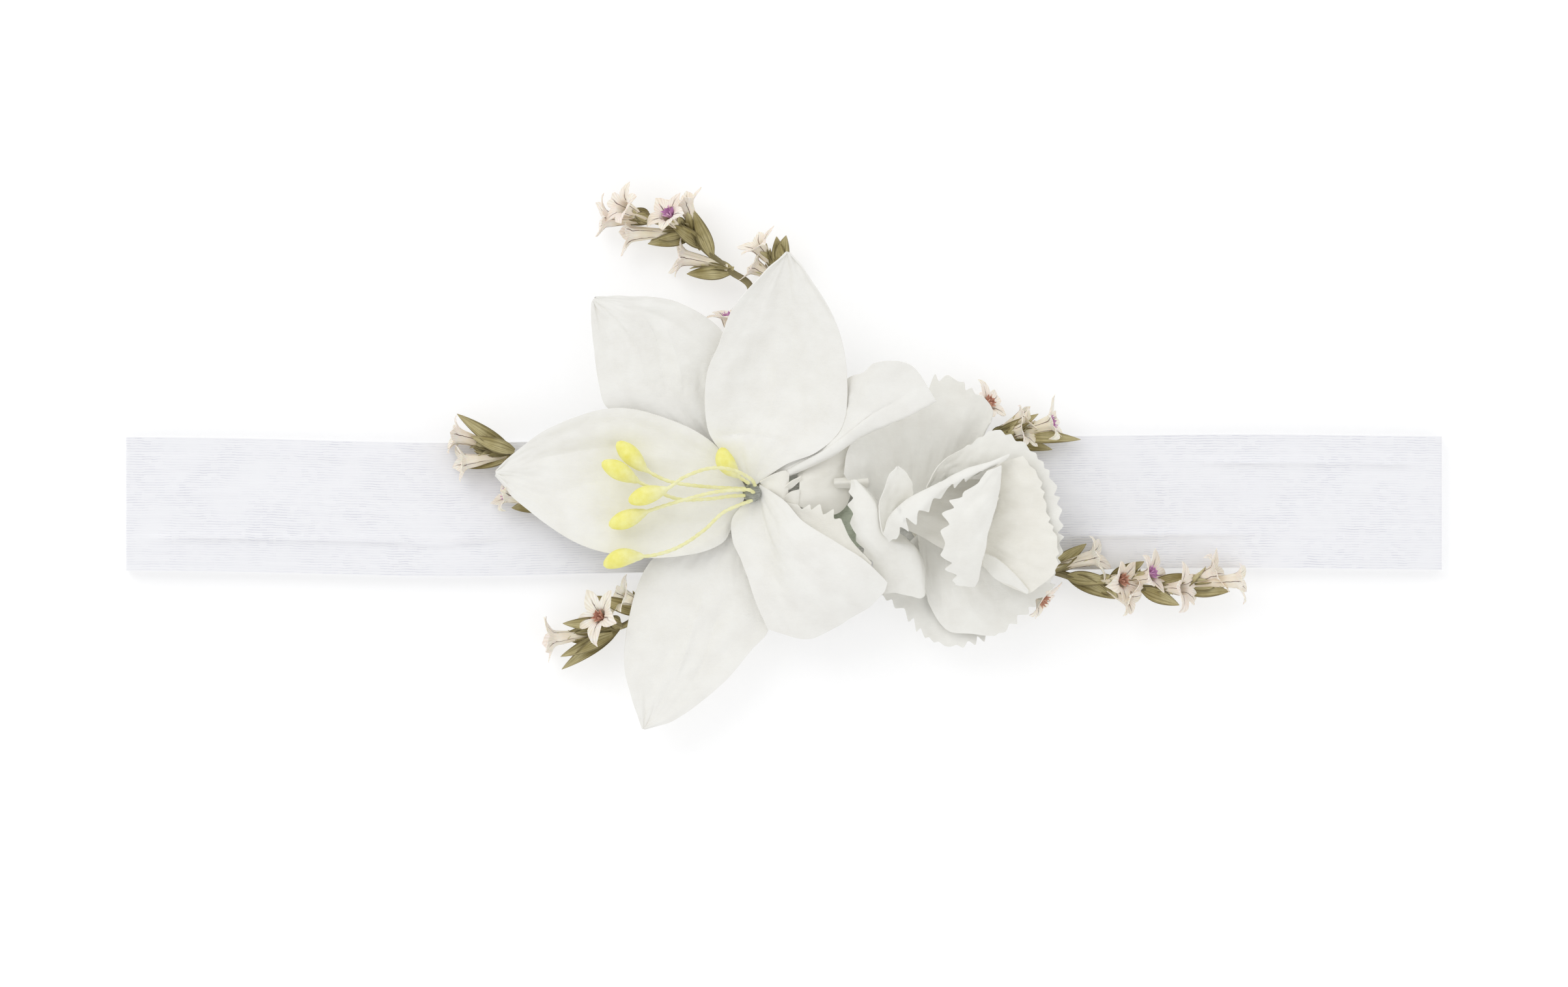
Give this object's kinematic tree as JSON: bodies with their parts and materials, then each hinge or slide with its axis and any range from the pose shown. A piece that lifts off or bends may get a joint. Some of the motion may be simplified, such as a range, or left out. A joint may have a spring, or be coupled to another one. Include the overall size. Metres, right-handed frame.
{
  "type": "flower crown",
  "caption": "Tie-on flower crown: white paper lily and carnation with dried statice sprigs on a folded white satin ribbon.",
  "frame": {"origin": "centre of the flat back face of the rear felt oval, in the middle of the ribbon", "axes": "+X along the ribbon towards the carnation's end, +Y across it towards the lily's top petal, +Z out of the front of the flowers"},
  "size_m": [0.2444, 0.1011, 0.0253],
  "materials": {
    "satin_ribbon": "satin weave with fine crosswise dashes",
    "white_felt": "soft matted felt",
    "clear_glue": "set hot-melt glue",
    "lily_paper": "matt mulberry paper with long fibres",
    "carnation_paper": "matt mulberry paper with pinked edges",
    "grey_binding": "wound grey thread",
    "yellow_stamen": "waxed pale yellow",
    "wrapped_wire": "paper-wrapped wire",
    "dried_statice": "dry papery flower with brown veins"
  },
  "bodies": {
    "crown": {"ribbon_front": "satin_ribbon", "felt_backing": "white_felt", "felt_base": "white_felt", "glue_lily": "clear_glue", "glue_carnation": "clear_glue", "lily_petal_left": "lily_paper", "lily_petal_upper_left": "lily_paper", "lily_petal_top": "lily_paper", "lily_petal_upper_right": "lily_paper", "lily_petal_lower_right": "lily_paper", "lily_petal_lower_left": "lily_paper", "carnation_core": "carnation_paper", "carnation_back_petal": "carnation_paper", "carnation_right_petal": "carnation_paper", "carnation_lower_petal": "carnation_paper", "carnation_lower_lobe": "carnation_paper", "carnation_left_flap": "carnation_paper", "carnation_small_flap": "carnation_paper", "carnation_rolled_flap": "carnation_paper", "carnation_centre_flap": "carnation_paper", "carnation_lip": "carnation_paper", "lily_throat": "grey_binding", "stamen_binding": "grey_binding", "stamen_1": "yellow_stamen", "stamen_2": "yellow_stamen", "stamen_3": "yellow_stamen", "stamen_4": "yellow_stamen", "stamen_5": "yellow_stamen", "stamen_6": "yellow_stamen", "lily_wire_stem": "wrapped_wire", "carnation_wire_stem": "wrapped_wire", "statice_upper_left": "dried_statice", "statice_top": "dried_statice", "statice_behind_top_petal": "dried_statice", "statice_left": "dried_statice", "statice_left_lower": "dried_statice", "statice_lower_left": "dried_statice", "statice_right_upper": "dried_statice", "statice_top_right": "dried_statice", "statice_right_lower": "dried_statice", "statice_lower_right": "dried_statice"},
    "left_tail_1": {"ribbon_left_tail_1": "satin_ribbon"},
    "left_tail_2": {"ribbon_left_tail_2": "satin_ribbon"},
    "left_tail_3": {"ribbon_left_tail_3": "satin_ribbon"},
    "right_tail_1": {"ribbon_right_tail_1": "satin_ribbon"},
    "right_tail_2": {"ribbon_right_tail_2": "satin_ribbon"},
    "right_tail_3": {"ribbon_right_tail_3": "satin_ribbon"}
  },
  "joints": [
    {"name": "left_fold_1", "type": "hinge", "parent": "crown", "child": "left_tail_1", "pos_m": [-0.1227, 0, 0.00255], "axis": [0, 1, 0], "range_deg": [0, 179.9]},
    {"name": "left_fold_2", "type": "hinge", "parent": "left_tail_1", "child": "left_tail_2", "pos_m": [-0.034, 0, 0.00165], "axis": [0, -1, 0], "range_deg": [0, 179.9]},
    {"name": "left_fold_3", "type": "hinge", "parent": "left_tail_2", "child": "left_tail_3", "pos_m": [-0.1227, 0, 0.00075], "axis": [0, 1, 0], "range_deg": [0, 179.9]},
    {"name": "right_fold_1", "type": "hinge", "parent": "crown", "child": "right_tail_1", "pos_m": [0.1227, 0, 0.00255], "axis": [0, -1, 0], "range_deg": [0, 179.9]},
    {"name": "right_fold_2", "type": "hinge", "parent": "right_tail_1", "child": "right_tail_2", "pos_m": [0.034, 0, 0.00165], "axis": [0, 1, 0], "range_deg": [0, 179.9]},
    {"name": "right_fold_3", "type": "hinge", "parent": "right_tail_2", "child": "right_tail_3", "pos_m": [0.1227, 0, 0.00075], "axis": [0, -1, 0], "range_deg": [0, 179.9]}
  ],
  "couplings": [
    {"joint": "left_fold_2", "follows": "left_fold_1", "ratio": 1},
    {"joint": "left_fold_3", "follows": "left_fold_1", "ratio": 1},
    {"joint": "right_fold_2", "follows": "right_fold_1", "ratio": 1},
    {"joint": "right_fold_3", "follows": "right_fold_1", "ratio": 1}
  ]
}
